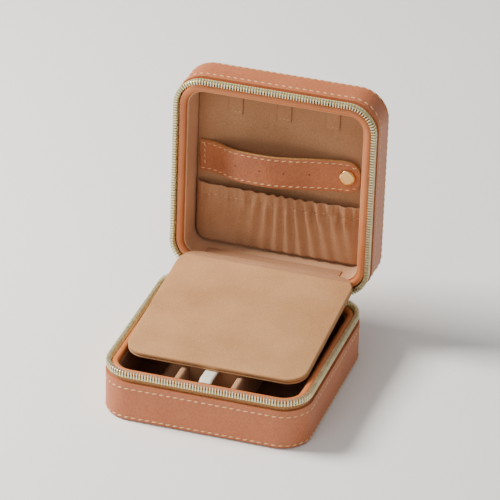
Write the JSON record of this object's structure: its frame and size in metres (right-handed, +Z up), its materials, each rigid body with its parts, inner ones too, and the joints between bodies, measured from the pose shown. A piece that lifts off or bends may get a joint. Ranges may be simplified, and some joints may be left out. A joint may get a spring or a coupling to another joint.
{
  "type": "jewellery case",
  "caption": "Square zip-round leather jewellery case, open, with a divided suede tray, a lift-up divider panel, and a lid with a gathered pocket, a snap strap for rings and necklace tabs.",
  "frame": {"origin": "middle of the base's underside, at the centre of its rounded-square plan", "axes": "+Z up, +X to the right along the front edge, +Y to the back towards the lid hinge; open lid stands at the back"},
  "size_m": [0.11, 0.1401, 0.139],
  "materials": {
    "case_leather": "pebbled, semi-matt",
    "rim_leather": "smooth, satin",
    "strap_leather": "pebbled, satin",
    "suede": "napped, matt",
    "card": "matt",
    "foam": "matt",
    "zip_tape": "woven",
    "zip_metal": "polished",
    "snap_metal": "polished",
    "ribbon": "satin weave"
  },
  "bodies": {
    "base": {"base_leather_band": "case_leather", "base_bottom_panel": "case_leather", "base_board_shell": "card", "base_foam_frame": "foam", "base_rim": "rim_leather", "base_tray_lining": "suede", "base_floor_pad": "suede", "base_zip_tape": "zip_tape", "base_zip_teeth": "zip_metal", "divider_left": "suede", "divider_right": "suede", "divider_cross_front": "suede", "divider_cross_rear": "suede", "spine_base_side": "case_leather", "spine_fold": "case_leather"},
    "lid": {"lid_leather_band": "case_leather", "lid_top_panel": "case_leather", "lid_board_shell": "card", "lid_foam_frame": "foam", "lid_rim": "rim_leather", "lid_tray_lining": "suede", "lid_zip_tape": "zip_tape", "lid_zip_teeth": "zip_metal", "lid_back_pad": "suede", "lid_pocket": "suede", "strap_sewn_end": "strap_leather", "snap_stud": "snap_metal", "panel_hinge_strip": "suede", "spine_lid_side": "case_leather"},
    "panel_fold": {"panel_hinge_fold": "suede", "panel_hinge_margin": "suede"},
    "panel": {"panel_top_cover": "suede", "panel_board": "card", "panel_under_cover": "suede", "ribbon_pull": "ribbon"},
    "strap": {"ring_strap": "strap_leather", "snap_cap": "snap_metal", "snap_socket": "snap_metal"},
    "tab_left": {"necklace_tab_left": "suede"},
    "tab_middle": {"necklace_tab_middle": "suede"},
    "tab_right": {"necklace_tab_right": "suede"},
    "zip_slider": {"zip_slider_body": "zip_metal", "zip_slider_bail": "zip_metal"},
    "zip_pull": {"pull_ring": "zip_metal", "pull_tab": "rim_leather"}
  },
  "joints": [
    {"name": "lid_hinge", "type": "hinge", "parent": "base", "child": "lid", "pos_m": [0, 0.0565, 0.0272], "axis": [-1, 0, 0], "range_deg": [-92, 0], "deforming": ["spine_fold", "ribbon_pull"]},
    {"name": "panel_fold_turn", "type": "hinge", "parent": "lid", "child": "panel_fold", "pos_m": [0, 0.05765, 0.03707], "axis": [1, 0, 0], "range_deg": [-98, 0]},
    {"name": "panel_lift", "type": "hinge", "parent": "panel_fold", "child": "panel", "pos_m": [0, 0.05454, 0.0381], "axis": [-1, 0, 0], "range_deg": [0, 60]},
    {"name": "strap_swing", "type": "hinge", "parent": "lid", "child": "strap", "pos_m": [-0.04105, 0.07589, 0.08666], "axis": [0.0314, -0.0349, -0.9989], "range_deg": [0, 25]},
    {"name": "tab_left_swing", "type": "hinge", "parent": "lid", "child": "tab_left", "pos_m": [-0.0265, 0.07858, 0.12939], "axis": [-1, 0, 0], "range_deg": [0, 80]},
    {"name": "tab_middle_swing", "type": "hinge", "parent": "lid", "child": "tab_middle", "pos_m": [0, 0.07858, 0.12939], "axis": [-1, 0, 0], "range_deg": [0, 80]},
    {"name": "tab_right_swing", "type": "hinge", "parent": "lid", "child": "tab_right", "pos_m": [0.0265, 0.07858, 0.12939], "axis": [-1, 0, 0], "range_deg": [0, 80]},
    {"name": "zip_slide", "type": "slide", "parent": "base", "child": "zip_slider", "axis": [-1, 0, 0], "range_m": [0, 0.006]},
    {"name": "zip_pull_swing", "type": "hinge", "parent": "zip_slider", "child": "zip_pull", "pos_m": [-0.029, 0.05945, 0.02545], "axis": [1, 0, 0], "range_deg": [0, 80]}
  ],
  "couplings": [
    {"joint": "panel_fold_turn", "follows": "lid_hinge", "ratio": 1.0543}
  ]
}
